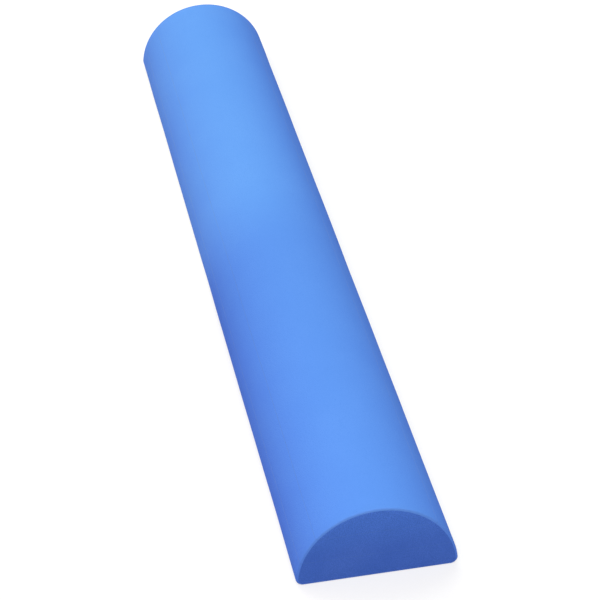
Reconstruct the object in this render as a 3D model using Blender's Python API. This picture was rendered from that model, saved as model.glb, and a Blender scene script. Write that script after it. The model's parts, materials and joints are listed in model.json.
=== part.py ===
"""A half round foam roller for balance, pilates and therapy work.

Three slabs of closed-cell EVA foam are bonded flat on flat with contact adhesive. The block is then
ground to a half round and its edges are eased, so every joint line runs flush with the surface.

Units are metres and +Z is up. The roller lies along Y with its flat base on the XY plane, and the
origin is the centre of that base. Everything below follows from the driving sizes.
"""

import math

import bmesh
import bpy
from mathutils import Vector

MM = 0.001

# Driving sizes
ROLLER_LENGTH = 1000 * MM
ROLLER_DIAMETER = 150 * MM  # the whole roller that this one is half of
BASE_EDGE_RADIUS = 7 * MM  # rounding of the two long lower edges
END_EDGE_RADIUS = 2 * MM  # easing round both ends
GLUE_THICKNESS = 0.3 * MM
BOND_CLEARANCE = 0.3 * MM  # left between a slab and the glue on it, so that no two solids touch

# The stack, from the base up: a film of glue lies between each slab and the next
SLAB_NAMES = ("base_slab", "middle_slab", "crown_slab")
GLUE_NAMES = ("lower_glue_film", "upper_glue_film")

# Smoothness of the rounded shapes, in flat steps
CROWN_STEPS = 72
BASE_EDGE_STEPS = 8
END_EDGE_STEPS = 4
SMOOTH_BELOW = math.radians(30)  # edges that turn by less than this are shaded smooth

# Finishes: linear colour, and roughness from mirror at 0 to matt at 1
FOAM_BLUE = (0.105, 0.296, 0.892, 1.0)
FOAM_ROUGHNESS = 0.62
GLUE_BLUE = (0.080, 0.212, 0.680, 1.0)
GLUE_ROUGHNESS = 0.4

# Worked out from the driving sizes
CROWN_RADIUS = ROLLER_DIAMETER / 2
SLAB_PITCH = CROWN_RADIUS / len(SLAB_NAMES)
BOND_THICKNESS = GLUE_THICKNESS + 2 * BOND_CLEARANCE
NEAR_END = -ROLLER_LENGTH / 2

QUARTER_TURN = math.pi / 2


def foam_material(name):
    """Ground EVA foam: an even light blue with a soft, broad sheen."""
    material = bpy.data.materials.new(name)
    material.use_nodes = True
    shader = material.node_tree.nodes["Principled BSDF"]
    shader.inputs["Base Color"].default_value = FOAM_BLUE
    shader.inputs["Roughness"].default_value = FOAM_ROUGHNESS
    return material


def glue_material(name):
    """Cured contact adhesive: a darker, glossier blue than the foam it joins."""
    material = bpy.data.materials.new(name)
    material.use_nodes = True
    shader = material.node_tree.nodes["Principled BSDF"]
    shader.inputs["Base Color"].default_value = GLUE_BLUE
    shader.inputs["Roughness"].default_value = GLUE_ROUGHNESS
    return material


def arc(centre, radius, start, end, steps):
    """Points (x, z) along an arc round centre, from the start angle to the end angle, both included."""
    angles = [start + (end - start) * step / steps for step in range(steps + 1)]
    centre_x, centre_z = centre
    return [(centre_x + radius * math.cos(a), centre_z + radius * math.sin(a)) for a in angles]


def end_outline():
    """The half round seen from the near end, anticlockwise: lower right corner, crown, lower left corner."""
    corner_x = math.sqrt((CROWN_RADIUS - BASE_EDGE_RADIUS) ** 2 - BASE_EDGE_RADIUS**2)
    meets_crown = math.atan2(BASE_EDGE_RADIUS, corner_x)  # the angle at which a corner runs into the crown
    right = arc((corner_x, BASE_EDGE_RADIUS), BASE_EDGE_RADIUS, -QUARTER_TURN, meets_crown, BASE_EDGE_STEPS)
    crown = arc((0, 0), CROWN_RADIUS, meets_crown, math.pi - meets_crown, CROWN_STEPS)
    left = [(-x, z) for x, z in reversed(right)]
    return right + crown[1:-1] + left


def roller_block():
    """The whole roller as one block: the end outline drawn out to the length, with its end edges eased."""
    block = bmesh.new()
    corners = [block.verts.new((x, NEAR_END, z)) for x, z in end_outline()]
    near_face = block.faces.new(corners)
    drawn = bmesh.ops.extrude_face_region(block, geom=[near_face])["geom"]
    far_corners = [item for item in drawn if isinstance(item, bmesh.types.BMVert)]
    bmesh.ops.translate(block, verts=far_corners, vec=Vector((0, ROLLER_LENGTH, 0)))
    bmesh.ops.recalc_face_normals(block, faces=block.faces)
    end_edges = [edge for edge in block.edges if edge.verts[0].co.y == edge.verts[1].co.y]
    bmesh.ops.bevel(
        block,
        geom=end_edges,
        offset=min(END_EDGE_RADIUS, BASE_EDGE_RADIUS),
        segments=END_EDGE_STEPS,
        profile=0.5,
        affect="EDGES",
        clamp_overlap=True,
    )
    return block


def cut_flat(block, height, keep_below):
    """Cuts the block level at a height, keeps what is below or above, and closes the cut with a flat face."""
    cut = bmesh.ops.bisect_plane(
        block,
        geom=block.verts[:] + block.edges[:] + block.faces[:],
        plane_co=Vector((0, 0, height)),
        plane_no=Vector((0, 0, 1)),
        clear_outer=keep_below,
        clear_inner=not keep_below,
    )["geom_cut"]
    rim = [item for item in cut if isinstance(item, bmesh.types.BMEdge)]
    bmesh.ops.contextual_create(block, geom=rim)


def add_layer(name, low, high, material, roller):
    """One layer of the roller between two heights. A height of None leaves the roller's own surface there."""
    layer = roller_block()
    if low is not None:
        cut_flat(layer, low, keep_below=False)
    if high is not None:
        cut_flat(layer, high, keep_below=True)
    rest_height = low or 0
    bmesh.ops.translate(layer, verts=layer.verts, vec=Vector((0, 0, -rest_height)))
    bmesh.ops.recalc_face_normals(layer, faces=layer.faces)
    mesh = bpy.data.meshes.new(name)
    layer.to_mesh(mesh)
    layer.free()
    mesh.shade_smooth()
    mesh.set_sharp_from_angle(angle=SMOOTH_BELOW)
    mesh.materials.append(material)
    piece = bpy.data.objects.new(name, mesh)
    piece.location = (0, 0, rest_height)
    piece.parent = roller
    bpy.context.scene.collection.objects.link(piece)


def add_slab(place, roller):
    """A foam slab, counted from the base. It stops short of each glue joint by half the joint's thickness."""
    name = SLAB_NAMES[place]
    low = place * SLAB_PITCH + BOND_THICKNESS / 2 if place > 0 else None
    high = (place + 1) * SLAB_PITCH - BOND_THICKNESS / 2 if name != SLAB_NAMES[-1] else None
    add_layer(name, low, high, foam_material(name + "_foam"), roller)


def add_glue_film(place, roller):
    """The film of contact adhesive on top of a slab, counted from the base and ground flush with the foam."""
    name = GLUE_NAMES[place]
    low = (place + 1) * SLAB_PITCH - GLUE_THICKNESS / 2
    add_layer(name, low, low + GLUE_THICKNESS, glue_material(name + "_glue"), roller)


def build_roller():
    """The whole roller, its layers held by one empty at the centre of the flat base."""
    roller = bpy.data.objects.new("half_round_roller", None)
    bpy.context.scene.collection.objects.link(roller)
    for place in range(len(SLAB_NAMES)):
        add_slab(place, roller)
    for place in range(len(GLUE_NAMES)):
        add_glue_film(place, roller)


for leftover in list(bpy.data.objects):
    bpy.data.objects.remove(leftover, do_unlink=True)
build_roller()
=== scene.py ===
"""The looks of a half round foam roller: three sheets of blue EVA foam, bonded and ground to shape."""

import json
import math

import bmesh
import bpy
from mathutils import Matrix, Vector

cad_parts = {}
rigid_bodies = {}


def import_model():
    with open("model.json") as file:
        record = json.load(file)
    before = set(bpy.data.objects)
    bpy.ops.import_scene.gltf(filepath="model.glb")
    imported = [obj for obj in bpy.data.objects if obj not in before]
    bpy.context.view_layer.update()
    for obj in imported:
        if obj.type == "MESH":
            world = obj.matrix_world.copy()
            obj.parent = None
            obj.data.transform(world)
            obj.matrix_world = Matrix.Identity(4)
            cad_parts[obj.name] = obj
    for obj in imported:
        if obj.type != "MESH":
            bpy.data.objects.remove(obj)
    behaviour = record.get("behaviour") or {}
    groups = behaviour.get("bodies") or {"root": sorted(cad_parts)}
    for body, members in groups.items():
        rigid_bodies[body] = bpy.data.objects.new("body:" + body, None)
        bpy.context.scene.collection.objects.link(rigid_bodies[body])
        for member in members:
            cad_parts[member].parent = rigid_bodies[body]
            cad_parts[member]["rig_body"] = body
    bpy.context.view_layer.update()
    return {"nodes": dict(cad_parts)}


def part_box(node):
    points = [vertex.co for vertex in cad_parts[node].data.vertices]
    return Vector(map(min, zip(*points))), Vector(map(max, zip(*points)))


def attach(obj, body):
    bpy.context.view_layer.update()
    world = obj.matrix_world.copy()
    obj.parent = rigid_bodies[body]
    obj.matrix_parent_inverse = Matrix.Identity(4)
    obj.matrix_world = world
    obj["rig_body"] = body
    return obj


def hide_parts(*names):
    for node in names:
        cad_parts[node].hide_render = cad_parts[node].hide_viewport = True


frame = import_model()


# Base slab
# The lowest of three sheets of closed-cell EVA foam. They are bonded into a block first, which is then
# ground to a half round on a belt, sawn to length, skived flat underneath and eased by hand along its
# edges. The sheets get their outer shape together, so the block is made here, and each is cut from it.

MM = 0.001

base_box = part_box("base_slab")
crown_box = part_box("crown_slab")
near_end, far_end = base_box[0].y, base_box[1].y
crown_radius = crown_box[1].z
base_edge_radius = 7 * MM
base_edge_passes = 9  # sanding passes round each long lower edge
end_edge_radius = 2 * MM
end_edge_passes = 4
crown_sides = 144  # of a whole circle, so the half round has half as many
smooth_below = math.radians(30)  # edges that turn by less than this are shaded smooth
HAIR = 0.01 * MM  # closer than this counts as the same place

relief_pitch = 5 * MM  # between the rows of points that hold the uneven, hand-finished surface
belt_wave_width = 90 * MM
belt_wave_height = 0.5 * MM  # how far the belt leaves the curved face from true, from hollow to crest
saw_wave_width = 28 * MM
saw_wave_height = 0.3 * MM  # the same on the sawn ends


def start_alone(piece):
    """Makes one object the only one selected, and the active one."""
    bpy.ops.object.select_all(action="DESELECT")
    piece.select_set(True)
    bpy.context.view_layer.objects.active = piece


def pick(kind, wanted):
    """While a mesh is edited, selects only the verts, edges or faces that a test picks out."""
    bpy.ops.mesh.select_mode(type=kind)
    bpy.ops.mesh.select_all(action="DESELECT")
    shape = bmesh.from_edit_mesh(bpy.context.edit_object.data)
    for item in {"VERT": shape.verts, "EDGE": shape.edges, "FACE": shape.faces}[kind]:
        if wanted(item):
            item.select_set(True)
    bmesh.update_edit_mesh(bpy.context.edit_object.data)


def level_with(axis, place):
    """A test for edges and faces that lie flat across an axis at a place along it."""
    return lambda item: all(abs(corner.co.dot(axis) - place) < HAIR for corner in item.verts)


ACROSS, ALONG, UP = Vector((1, 0, 0)), Vector((0, 1, 0)), Vector((0, 0, 1))
is_near_end = level_with(ALONG, near_end)
is_far_end = level_with(ALONG, far_end)
is_base = level_with(UP, 0)


def sand_long_edge(side):
    """Rounds one lower corner of the end outline in flat passes that touch the finished edge's circle."""
    across = math.sqrt((crown_radius - base_edge_radius) ** 2 - base_edge_radius**2)
    centre = Vector((side * across, 0, base_edge_radius))
    from_base, to_crown = -math.pi / 2, math.atan2(base_edge_radius, across)
    for turn in range(1, base_edge_passes):
        angle = from_base + (to_crown - from_base) * turn / base_edge_passes
        outward = Vector((side * math.cos(angle), 0, math.sin(angle)))
        bpy.ops.mesh.select_all(action="SELECT")
        bpy.ops.mesh.bisect(
            plane_co=centre + outward * base_edge_radius,
            plane_no=outward,
            clear_outer=True,
        )


def ease_end(is_end):
    """Rounds the edge all round one end: the end face is inset and drawn out by turns, a quarter circle."""
    pick("FACE", is_end)
    for turn in range(end_edge_passes):
        before = turn / end_edge_passes * math.pi / 2
        after = (turn + 1) / end_edge_passes * math.pi / 2
        bpy.ops.mesh.inset(
            thickness=end_edge_radius * (math.cos(before) - math.cos(after)),
            depth=end_edge_radius * (math.sin(after) - math.sin(before)),
        )


def rows_between(low, high):
    """Places a relief pitch apart, half a pitch in from the lower end, so that none meets a glue joint."""
    count = int((high - low) / relief_pitch)
    return [low + (row + 0.5) * relief_pitch for row in range(count)]


def score(wanted, axis, places):
    """Divides flat faces with straight rows of points, square to an axis, so that they can hold relief."""
    for place in places:
        pick("FACE", wanted)
        bpy.ops.mesh.bisect(plane_co=axis * place, plane_no=axis)


bpy.ops.object.select_all(action="DESELECT")
bpy.ops.mesh.primitive_circle_add(
    vertices=crown_sides,
    radius=crown_radius,
    fill_type="NGON",
    location=(0, near_end + end_edge_radius, 0),
    rotation=(math.pi / 2, 0, 0),
)
block = bpy.context.active_object
block.name = "ground_block"
bpy.ops.object.transform_apply(location=True, rotation=True, scale=True)
bpy.ops.object.mode_set(mode="EDIT")
bpy.ops.mesh.select_all(action="SELECT")
bpy.ops.mesh.bisect(plane_co=(0, 0, 0), plane_no=UP, clear_inner=True)
sand_long_edge(-1)
sand_long_edge(1)
bpy.ops.mesh.select_all(action="SELECT")
drawn_length = far_end - near_end - 2 * end_edge_radius
bpy.ops.mesh.extrude_region_move(TRANSFORM_OT_translate={"value": (0, drawn_length, 0)})
bpy.ops.mesh.select_all(action="SELECT")
bpy.ops.mesh.normals_make_consistent(inside=False)
ease_end(level_with(ALONG, near_end + end_edge_radius))
ease_end(level_with(ALONG, far_end - end_edge_radius))
for is_end in (is_near_end, is_far_end):
    score(is_end, UP, rows_between(0, crown_radius))
    score(is_end, ACROSS, rows_between(-crown_radius, crown_radius))
# The long faces are divided too: the skin to hold its relief, the base so that no face is a long strip
pick("EDGE", lambda edge: edge.calc_length() > drawn_length / 2)
bpy.ops.mesh.subdivide(number_cuts=int(drawn_length / relief_pitch))
score(is_base, ACROSS, rows_between(-crown_radius, crown_radius))


def colour(hex_code):
    """An sRGB colour such as #6496C8, as linear red, green and blue with a full alpha."""
    shares = [int(hex_code[place : place + 2], 16) / 255 for place in (1, 3, 5)]
    return [s / 12.92 if s <= 0.04045 else ((s + 0.055) / 1.055) ** 2.4 for s in shares] + [1.0]


def add_node(tree, kind, sockets=None, **settings):
    """Adds a shader node with its settings. Its sockets, by name or number, take plain values or links,
    and a node given as a value links its first output."""
    added = tree.nodes.new("ShaderNode" + kind)
    for name, value in settings.items():
        setattr(added, name, value)
    for name, value in (sockets or {}).items():
        by_name = [socket for socket in added.inputs if socket.enabled and socket.name == name]
        socket = by_name[0] if by_name else added.inputs[name]
        if isinstance(value, bpy.types.Node):
            value = next(output for output in value.outputs if output.enabled)
        if isinstance(value, bpy.types.NodeSocket):
            tree.links.new(value, socket)
        else:
            socket.default_value = value
    return added


def new_finish(name):
    """A new material with its node tree and the tree's Principled shader."""
    material = bpy.data.materials.new(name)
    material.use_nodes = True
    return material, material.node_tree, material.node_tree.nodes["Principled BSDF"]


foam_shine = 0.03  # beside 0.5 for a smooth skin: cut cells scatter light, and mirror next to none of it


def ground_eva():
    """Closed-cell EVA foam, ground on a belt and smoothed with heat: a dull satin skin, painted paler on the
    crown and deeper on the flanks as painted light and shade from above, faintly cloudy and streaked
    lengthwise, pebbled by the cells just under it with painted shade in the creases between them, with a
    pore here and there painted darker as shade in its hollow, and palest where the edges were eased by hand,
    worn paler there and with a painted highlight that is strongest at the crown."""
    material, tree, shader = new_finish("ground_eva")
    place = add_node(tree, "TexCoord").outputs["Object"]

    axes = add_node(tree, "SeparateXYZ", {"Vector": place})
    # Painted light and shade: the skin is paler up on the crown and deeper and more violet down the flanks,
    # as light falls from above
    up_the_side = add_node(tree, "Math", {0: axes.outputs["Z"], 1: crown_radius}, operation="DIVIDE")
    side_tones = {"Factor": up_the_side, "A": colour("#5B84FB"), "B": colour("#5C95EE")}
    painted_height_light = add_node(tree, "Mix", side_tones, data_type="RGBA")

    cloud_width = 55 * MM
    clouds = add_node(tree, "TexNoise", {"Vector": place, "Scale": 1 / cloud_width, "Detail": 2})
    cloud_tones = {"Factor": clouds, "A": painted_height_light, "B": colour("#6AA1F5")}
    cloudy = add_node(tree, "Mix", cloud_tones, data_type="RGBA")

    # The real cells are 0.1 to 0.4 mm wide, too fine to show, so they are drawn coarser
    cell_width, cell_height, cell_edge = 0.9 * MM, 0.12 * MM, 0.8
    cells = add_node(tree, "TexVoronoi", {"Vector": place, "Scale": 1 / cell_width})
    dome = add_node(tree, "MapRange", {"Value": cells, "From Max": cell_edge, "To Min": 1, "To Max": 0})
    # Painted shade: the creases between the cells stay darker than the domes
    creased = add_node(tree, "Mix", {"Factor": dome, "A": painted_height_light, "B": cloudy}, data_type="RGBA")

    # The pores are bigger bubbles that the belt has ground open, scattered through the whole block
    bubble_spread, bubble_radius, pore_depth = 4 * MM, 0.4 * MM, 0.25 * MM
    bubbles = add_node(tree, "TexVoronoi", {"Vector": place, "Scale": 1 / bubble_spread})
    unbroken = add_node(tree, "MapRange", {"Value": bubbles, "From Max": bubble_radius / bubble_spread})
    # Painted shade: the open pores are darker, as shade in their hollows
    pore_tones = {"Factor": unbroken, "A": colour("#4A80DE"), "B": creased}
    porous = add_node(tree, "Mix", pore_tones, data_type="RGBA")

    # Hand easing leaves the edges paler and rougher: round the ends and low down along the base. Round the
    # ends the paler band is also a painted highlight, strongest at the crown, where the rounded edge faces
    # the light from above
    from_middle = add_node(tree, "Math", {0: axes.outputs["Y"]}, operation="ABSOLUTE")
    rim_width = 1.5 * end_edge_radius  # the paler band reaches a little past the rounding itself
    rim_range = {"From Min": far_end - rim_width, "From Max": far_end}
    rim = add_node(tree, "MapRange", {"Value": from_middle, **rim_range})
    # Painted highlight: the paler rim is strongest towards the crown, where light from above catches the
    # rounded edge
    rim_at_crown = add_node(tree, "Math", {0: rim, 1: up_the_side}, operation="MULTIPLY")
    low_wear = 0.4  # along the base, where 1 is the wear and painted highlight round the crown
    low_range = {"From Min": base_edge_radius, "From Max": 0, "To Max": low_wear}
    low = add_node(tree, "MapRange", {"Value": axes.outputs["Z"], **low_range})
    edges = add_node(tree, "Math", {0: rim_at_crown, 1: low}, operation="MAXIMUM")
    scuff_width = 5 * MM
    scuffs = add_node(tree, "TexNoise", {"Vector": place, "Scale": 1 / scuff_width, "Detail": 3})
    eased = add_node(tree, "Math", {0: edges, 1: scuffs}, operation="MULTIPLY")
    edge_tones = {"Factor": eased, "A": porous, "B": colour("#72A2FC")}
    blue = add_node(tree, "Mix", edge_tones, data_type="RGBA")
    tree.links.new(blue.outputs["Result"], shader.inputs["Base Color"])

    streak_width, streak_length, streak_height = 3 * MM, 120 * MM, 0.05 * MM
    belt_scale = (1 / streak_width, 1 / streak_length, 1 / streak_width)
    belt = add_node(tree, "Mapping", {"Vector": place, "Scale": belt_scale})
    streaks = add_node(tree, "TexNoise", {"Vector": belt, "Scale": 1, "Detail": 2})
    smoothest, dullest = 0.65, 0.9
    satin = add_node(tree, "MapRange", {"Value": streaks, "To Min": smoothest, "To Max": dullest})
    dulled = add_node(tree, "Math", {0: satin, 1: eased}, operation="ADD", use_clamp=True)
    tree.links.new(dulled.outputs["Value"], shader.inputs["Roughness"])
    shader.inputs["Specular IOR Level"].default_value = foam_shine

    peel_width, peel_height = 8 * MM, 0.06 * MM
    peel = add_node(tree, "TexNoise", {"Vector": place, "Scale": 1 / peel_width, "Detail": 1})
    waved = add_node(tree, "Bump", {"Height": peel, "Distance": peel_height})
    ground = add_node(tree, "Bump", {"Height": streaks, "Distance": streak_height, "Normal": waved})
    pebbled = add_node(tree, "Bump", {"Height": dome, "Distance": cell_height, "Normal": ground})
    pitted = add_node(tree, "Bump", {"Height": unbroken, "Distance": pore_depth, "Normal": pebbled})
    tree.links.new(pitted.outputs["Normal"], shader.inputs["Normal"])
    return material


def sawn_eva():
    """EVA foam where a band saw has cut it to length: matt, a shade deeper and more violet than the skin,
    painted paler near the crown as painted light from above, with its cells cut open to little pits painted
    darker as shade in them, and faint upright lines from the teeth of the blade."""
    material, tree, shader = new_finish("sawn_eva")
    place = add_node(tree, "TexCoord").outputs["Object"]

    cloud_width = 35 * MM
    clouds = add_node(tree, "TexNoise", {"Vector": place, "Scale": 1 / cloud_width, "Detail": 3})
    cloud_tones = {"Factor": clouds, "A": colour("#4B76DE"), "B": colour("#5D86EC")}
    cloudy = add_node(tree, "Mix", cloud_tones, data_type="RGBA")

    axes = add_node(tree, "SeparateXYZ", {"Vector": place})
    # Painted light: the sawn end is paler towards the crown, as light falls from above
    painted_light_from, painted_light_to, most_painted_light = 0.4 * crown_radius, 0.85 * crown_radius, 0.8
    height_range = {"From Min": painted_light_from, "From Max": painted_light_to, "To Max": most_painted_light}
    painted_light_mask = add_node(tree, "MapRange", {"Value": axes.outputs["Z"], **height_range})
    painted_light_tones = {"Factor": painted_light_mask, "A": cloudy, "B": colour("#5C8FF9")}
    painted_height_light = add_node(tree, "Mix", painted_light_tones, data_type="RGBA")

    # The cells are drawn coarser than the real ones, as on the skin
    cell_width, cell_depth, cell_edge = 0.9 * MM, 0.25 * MM, 0.7
    cells = add_node(tree, "TexVoronoi", {"Vector": place, "Scale": 1 / cell_width})
    wall = add_node(tree, "MapRange", {"Value": cells, "From Max": cell_edge})
    # Painted shade: the cut-open cells are darker in their hollows
    pit_tones = {"Factor": wall, "A": colour("#4570D2"), "B": painted_height_light}
    pitted = add_node(tree, "Mix", pit_tones, data_type="RGBA")
    tree.links.new(pitted.outputs["Result"], shader.inputs["Base Color"])
    shader.inputs["Roughness"].default_value = 0.8
    shader.inputs["Specular IOR Level"].default_value = foam_shine

    tooth_pitch, stroke_length, line_height = 2.6 * MM, 90 * MM, 0.2 * MM
    blade_lean = (0, math.radians(6), 0)
    blade_scale = (1 / tooth_pitch, 1, 1 / stroke_length)
    blade = add_node(tree, "Mapping", {"Vector": place, "Rotation": blade_lean, "Scale": blade_scale})
    lines = add_node(tree, "TexNoise", {"Vector": blade, "Scale": 1, "Detail": 1})
    sawn = add_node(tree, "Bump", {"Height": lines, "Distance": line_height})
    open_cells = add_node(tree, "Bump", {"Height": wall, "Distance": cell_depth, "Normal": sawn})
    tree.links.new(open_cells.outputs["Normal"], shader.inputs["Normal"])
    return material


def skived_eva():
    """EVA foam where a splitting knife has left it flat: even and matt, with the cells sliced open and long
    shallow lines where the knife ran along the roller."""
    material, tree, shader = new_finish("skived_eva")
    place = add_node(tree, "TexCoord").outputs["Object"]

    cloud_width = 70 * MM
    clouds = add_node(tree, "TexNoise", {"Vector": place, "Scale": 1 / cloud_width, "Detail": 3})
    cloud_tones = {"Factor": clouds, "A": colour("#507EE8"), "B": colour("#5E8DF2")}
    cloudy = add_node(tree, "Mix", cloud_tones, data_type="RGBA")

    # The cells are drawn coarser than the real ones, as on the skin
    cell_width, cell_depth, cell_edge = 0.8 * MM, 0.15 * MM, 0.7
    cells = add_node(tree, "TexVoronoi", {"Vector": place, "Scale": 1 / cell_width})
    wall = add_node(tree, "MapRange", {"Value": cells, "From Max": cell_edge})
    # Painted shade: the sliced-open cells are darker in their hollows
    cell_tones = {"Factor": wall, "A": colour("#4976DC"), "B": cloudy}
    sliced = add_node(tree, "Mix", cell_tones, data_type="RGBA")
    tree.links.new(sliced.outputs["Result"], shader.inputs["Base Color"])
    shader.inputs["Specular IOR Level"].default_value = foam_shine

    line_pitch, line_length, line_height = 4 * MM, 300 * MM, 0.1 * MM
    knife_scale = (1 / line_pitch, 1 / line_length, 1)
    knife = add_node(tree, "Mapping", {"Vector": place, "Scale": knife_scale})
    lines = add_node(tree, "TexNoise", {"Vector": knife, "Scale": 1, "Detail": 2})
    smoothest, dullest = 0.6, 0.8
    dull = add_node(tree, "MapRange", {"Value": lines, "To Min": smoothest, "To Max": dullest})
    tree.links.new(dull.outputs["Result"], shader.inputs["Roughness"])
    knifed = add_node(tree, "Bump", {"Height": lines, "Distance": line_height})
    open_cells = add_node(tree, "Bump", {"Height": wall, "Distance": cell_depth, "Normal": knifed})
    tree.links.new(open_cells.outputs["Normal"], shader.inputs["Normal"])
    return material


def primed_eva():
    """EVA foam inside a glue joint: deeper in colour where brushed adhesive has soaked into its cells, with
    the gloss of the dried film in streaks."""
    material, tree, shader = new_finish("primed_eva")
    place = add_node(tree, "TexCoord").outputs["Object"]
    brush_width, brush_length, film_height = 6 * MM, 80 * MM, 0.1 * MM
    brush_scale = (1 / brush_width, 1 / brush_length, 1)
    brushed = add_node(tree, "Mapping", {"Vector": place, "Scale": brush_scale})
    strokes = add_node(tree, "TexNoise", {"Vector": brushed, "Scale": 1, "Detail": 3})
    soaked_tones = {"Factor": strokes, "A": colour("#4271CE"), "B": colour("#5A8AE6")}
    soaked = add_node(tree, "Mix", soaked_tones, data_type="RGBA")
    tree.links.new(soaked.outputs["Result"], shader.inputs["Base Color"])
    smoothest, dullest = 0.25, 0.6
    gloss = add_node(tree, "MapRange", {"Value": strokes, "To Min": smoothest, "To Max": dullest})
    tree.links.new(gloss.outputs["Result"], shader.inputs["Roughness"])
    film = add_node(tree, "Bump", {"Height": strokes, "Distance": film_height})
    tree.links.new(film.outputs["Normal"], shader.inputs["Normal"])
    return material


for finish in (ground_eva(), sawn_eva(), skived_eva(), primed_eva()):
    block.data.materials.append(finish)
GROUND, SAWN, SKIVED, PRIMED = range(4)


def give_finish(wanted, finish):
    """While a mesh is edited, gives the faces that a test picks out one of the block's finishes."""
    pick("FACE", wanted)
    bpy.context.object.active_material_index = finish
    bpy.ops.object.material_slot_assign()


give_finish(is_near_end, SAWN)
give_finish(is_far_end, SAWN)
give_finish(is_base, SKIVED)
bpy.ops.object.mode_set(mode="OBJECT")


def add_relief(name, finish, width, height):
    """Pushes the points of one finish in and out by a soft random relief of a real width and height."""
    relief = bpy.data.textures.new(name, type="CLOUDS")
    relief.noise_scale = width
    relief.noise_depth = 1
    faces = block.data.polygons
    inside = {point for face in faces if face.material_index == finish for point in face.vertices}
    outside = {point for face in faces if face.material_index != finish for point in face.vertices}
    group = block.vertex_groups.new(name=name)
    group.add(sorted(inside - outside), 1.0, "REPLACE")
    push = block.modifiers.new(name, "DISPLACE")
    push.texture = relief
    push.texture_coords = "LOCAL"
    push.vertex_group = group.name
    push.mid_level = 0.5
    push.strength = height
    bpy.ops.object.modifier_apply(modifier=push.name)


start_alone(block)
add_relief("belt_waves", GROUND, belt_wave_width, belt_wave_height)
add_relief("saw_waves", SAWN, saw_wave_width, saw_wave_height)


def cut_sheet(name, low, high):
    """A copy of the block, cut level at two heights. A height of None leaves that side of it whole."""
    sheet = block.copy()
    sheet.data = block.data.copy()
    sheet.name = name
    bpy.context.scene.collection.objects.link(sheet)
    start_alone(sheet)
    bpy.ops.object.mode_set(mode="EDIT")
    for height, trim in ((low, "clear_inner"), (high, "clear_outer")):
        if height is not None:
            bpy.ops.mesh.select_all(action="SELECT")
            bpy.ops.mesh.bisect(plane_co=UP * height, plane_no=UP, use_fill=True, **{trim: True})
            give_finish(level_with(UP, height), PRIMED)
    bpy.ops.object.mode_set(mode="OBJECT")
    bpy.ops.object.shade_smooth_by_angle(angle=smooth_below)
    return sheet


def stand_for(piece, node_name):
    """Puts a piece in the place of its CAD node, on the body that carries it."""
    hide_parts(node_name)
    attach(piece, frame["nodes"][node_name]["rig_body"])


lower_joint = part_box("lower_glue_film")
base_foam = cut_sheet("base_foam", None, lower_joint[0].z)
stand_for(base_foam, "base_slab")


# Middle slab
# The second sheet of the same foam, glued down on the base slab. Only its two ground flanks and its sawn
# ends show.

upper_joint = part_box("upper_glue_film")
middle_foam = cut_sheet("middle_foam", lower_joint[1].z, upper_joint[0].z)
stand_for(middle_foam, "middle_slab")


# Crown slab
# The third sheet of the same foam, glued on top and ground down to the crown of the half round. Backs and
# feet rest on it, and the whole roller rocks on it when it is turned over. Its skin is painted palest, as
# painted light falling from above.

crown_foam = cut_sheet("crown_foam", upper_joint[1].z, None)
stand_for(crown_foam, "crown_slab")


# Glue films
# Contact adhesive, brushed on both sheets and pressed together. It was ground flush with the foam and has
# shrunk back a little since, so each film shows as a hairline, a shade deeper and glossier than the foam.

shrunk_back = 0.05 * MM


def contact_adhesive():
    """Dried contact adhesive: a rubbery film, tinted by foam dust ground into it, with an uneven gloss."""
    material, tree, shader = new_finish("contact_adhesive")
    place = add_node(tree, "TexCoord").outputs["Object"]
    lump_width, lump_height = 1.5 * MM, 0.05 * MM
    lumps = add_node(tree, "TexNoise", {"Vector": place, "Scale": 1 / lump_width, "Detail": 2})
    dust_tones = {"Factor": lumps, "A": colour("#4472CC"), "B": colour("#5C8BE2")}
    dusty = add_node(tree, "Mix", dust_tones, data_type="RGBA")
    tree.links.new(dusty.outputs["Result"], shader.inputs["Base Color"])
    smoothest, dullest = 0.3, 0.5
    gloss = add_node(tree, "MapRange", {"Value": lumps, "To Min": smoothest, "To Max": dullest})
    tree.links.new(gloss.outputs["Result"], shader.inputs["Roughness"])
    shader.inputs["Specular IOR Level"].default_value = 0.25
    lumpy = add_node(tree, "Bump", {"Height": lumps, "Distance": lump_height})
    tree.links.new(lumpy.outputs["Normal"], shader.inputs["Normal"])
    return material


def cut_film(name, joint):
    """The film between two sheets, cut from the block like them and drawn in a little all round."""
    film = cut_sheet(name, joint[0].z, joint[1].z)
    bpy.ops.object.mode_set(mode="EDIT")
    pick("FACE", lambda face: face.material_index != PRIMED)
    bpy.ops.mesh.normals_make_consistent(inside=False)
    bpy.ops.transform.shrink_fatten(value=-shrunk_back)
    bpy.ops.object.mode_set(mode="OBJECT")
    film.data.materials.clear()
    film.data.materials.append(adhesive)
    return film


adhesive = contact_adhesive()
lower_film = cut_film("lower_film", lower_joint)
stand_for(lower_film, "lower_glue_film")
upper_film = cut_film("upper_film", upper_joint)
stand_for(upper_film, "upper_glue_film")
bpy.data.objects.remove(block)


# The camera
# It stands a little to the left of the near end and looks down along the roller, as in the photograph. Its
# place, its turns and its long lens were fitted to the roller's outline there.

camera_place = Vector((-350.6, -2102.8, 1413.7)) * MM
camera_azimuth = math.radians(-10.13)
camera_elevation = math.radians(34.16)
camera_roll = math.radians(-1.53)
sensor_width, focal_length = 36, 143.14  # a camera takes these two in millimetres


def seen_from(azimuth, elevation):
    """The direction out to a place round the roller. Azimuth 0 is before the near end, and 90 degrees is on
    the right of it."""
    level = math.cos(elevation)
    return Vector((math.sin(azimuth) * level, -math.cos(azimuth) * level, math.sin(elevation)))


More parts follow.
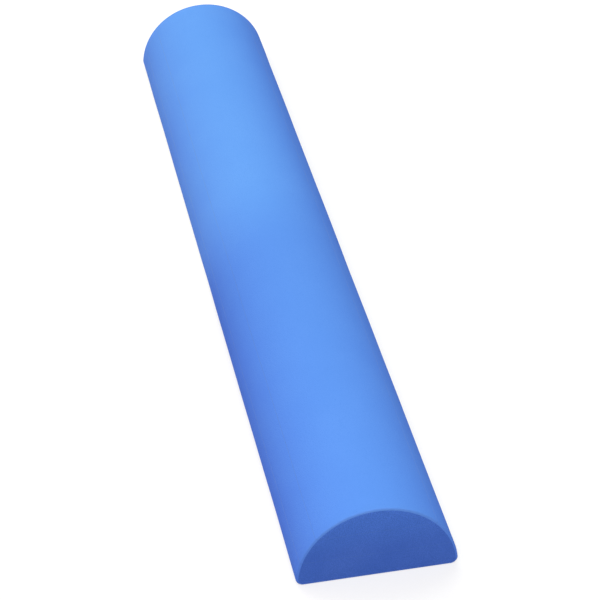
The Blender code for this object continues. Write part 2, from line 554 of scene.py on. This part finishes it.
camera_data = bpy.data.cameras.new("camera")
camera_data.sensor_width = sensor_width
camera_data.lens = focal_length
camera = bpy.data.objects.new("camera", camera_data)
bpy.context.scene.collection.objects.link(camera)
bpy.context.scene.camera = camera
back = seen_from(camera_azimuth, camera_elevation)
level_right = UP.cross(back).normalized()
turned = Matrix.Rotation(camera_roll, 3, back)
facing = Matrix((turned @ level_right, turned @ back.cross(level_right), back)).transposed()
camera.matrix_world = Matrix.Translation(camera_place) @ facing.to_4x4()


# The floor
# A plain white studio floor. To the camera and in reflections it glows a little, so that it stays white
# and keeps only a faint shadow of the roller. It passes on the light of the lamps as a mid grey does.

floor_width = 30000 * MM
passed_on = 0.35  # the share of the light on the floor that it sends back to the roller
floor_glow = 0.7  # as a share of white

bpy.ops.object.select_all(action="DESELECT")
bpy.ops.mesh.primitive_plane_add(size=floor_width, location=(0, 0, 0))
floor = bpy.context.active_object
floor.name = "floor"


def where_shown(tree):
    """1 for the rays that show the background: those of the camera, of reflections and through glass."""
    rays = add_node(tree, "LightPath").outputs
    seen_or_mirrored = {0: rays["Is Camera Ray"], 1: rays["Is Glossy Ray"]}
    direct = add_node(tree, "Math", seen_or_mirrored, operation="MAXIMUM")
    return add_node(tree, "Math", {0: direct, 1: rays["Is Transmission Ray"]}, operation="MAXIMUM")


def studio_white():
    """Matt white studio paint: no sheen, and no texture that a camera at this distance would see."""
    material = bpy.data.materials.new("studio_white")
    material.use_nodes = True
    tree = material.node_tree
    tree.nodes.clear()
    paint = add_node(tree, "BsdfDiffuse", {"Color": (passed_on, passed_on, passed_on, 1)})
    glow = add_node(tree, "Emission", {"Strength": floor_glow})
    shown = add_node(tree, "AddShader", {0: paint, 1: glow})
    finished = add_node(tree, "MixShader", {"Fac": where_shown(tree), 1: paint, 2: shown})
    add_node(tree, "OutputMaterial", {"Surface": finished})
    return material


floor.data.materials.append(studio_white())


# The light
# Soft and even, as in the photograph: a white background, three very broad lamps round the roller, and two
# softboxes on the left, one that lifts the far half of the roller and one that lifts its near end a little.

room_light = 0.375  # what the white room itself adds to the roller's light, as a share of white
lamp_breadth = math.radians(50)  # how wide each of the broad lamps looks from the roller
softbox_distance = 1000 * MM

world = bpy.data.worlds.new("studio")
bpy.context.scene.world = world
world.use_nodes = True
tree = world.node_tree
tree.nodes.clear()
room = add_node(tree, "Background", {"Color": colour("#FFFFFF"), "Strength": room_light})
white = add_node(tree, "Background", {"Color": colour("#FFFFFF"), "Strength": 1})
backdrop = add_node(tree, "MixShader", {"Fac": where_shown(tree), 1: room, 2: white})
add_node(tree, "OutputWorld", {"Surface": backdrop})


def add_lamp(name, kind, azimuth, elevation, tint):
    """A lamp that shines inwards from a place round the roller, and the direction out to it."""
    lamp_data = bpy.data.lights.new(name, kind)
    lamp_data.color = colour(tint)[:3]
    lamp = bpy.data.objects.new(name, lamp_data)
    bpy.context.scene.collection.objects.link(lamp)
    out = seen_from(math.radians(azimuth), math.radians(elevation))
    lamp.rotation_mode = "QUATERNION"
    lamp.rotation_quaternion = out.to_track_quat("Z", "Y")
    return lamp, out


# Name, azimuth and elevation in degrees, strength as a share of a white background's light, and tint. With
# an energy of pi, a far-off lamp straight above white paint makes it as bright as that background.
for name, azimuth, elevation, strength, tint in (
    ("near_lamp", 0, 45, 0.313, "#FFFAF5"),
    ("far_lamp", 180, 45, 0.425, "#F6FFFB"),
    ("far_left_lamp", 225, 45, 0.227, "#FFEBED"),
):
    lamp, out = add_lamp(name, "SUN", azimuth, elevation, tint)
    lamp.data.energy = strength * math.pi
    lamp.data.angle = lamp_breadth

# The same, and the place that each softbox is turned to and its two sides, all in millimetres, and the
# spread of its light in degrees
for name, azimuth, elevation, strength, tint, lit_place, sides, spread in (
    ("near_softbox", 320, 55, 0.153, "#FEF1FF", (0, -500, 50), (500, 500), 50),
    ("far_softbox", 285, 45, 0.305, "#FFF89C", (0, 510, 30), (960, 500), 12),
):
    lamp, out = add_lamp(name, "AREA", azimuth, elevation, tint)
    lamp.location = Vector(lit_place) * MM + out * softbox_distance
    lamp.data.shape = "RECTANGLE"
    lamp.data.size, lamp.data.size_y = [side * MM for side in sides]
    lamp.data.energy = strength * math.pi * lamp.data.size * lamp.data.size_y
    lamp.data.spread = math.radians(spread)
    lamp.visible_camera = False

bpy.context.scene.view_settings.view_transform = "Standard"
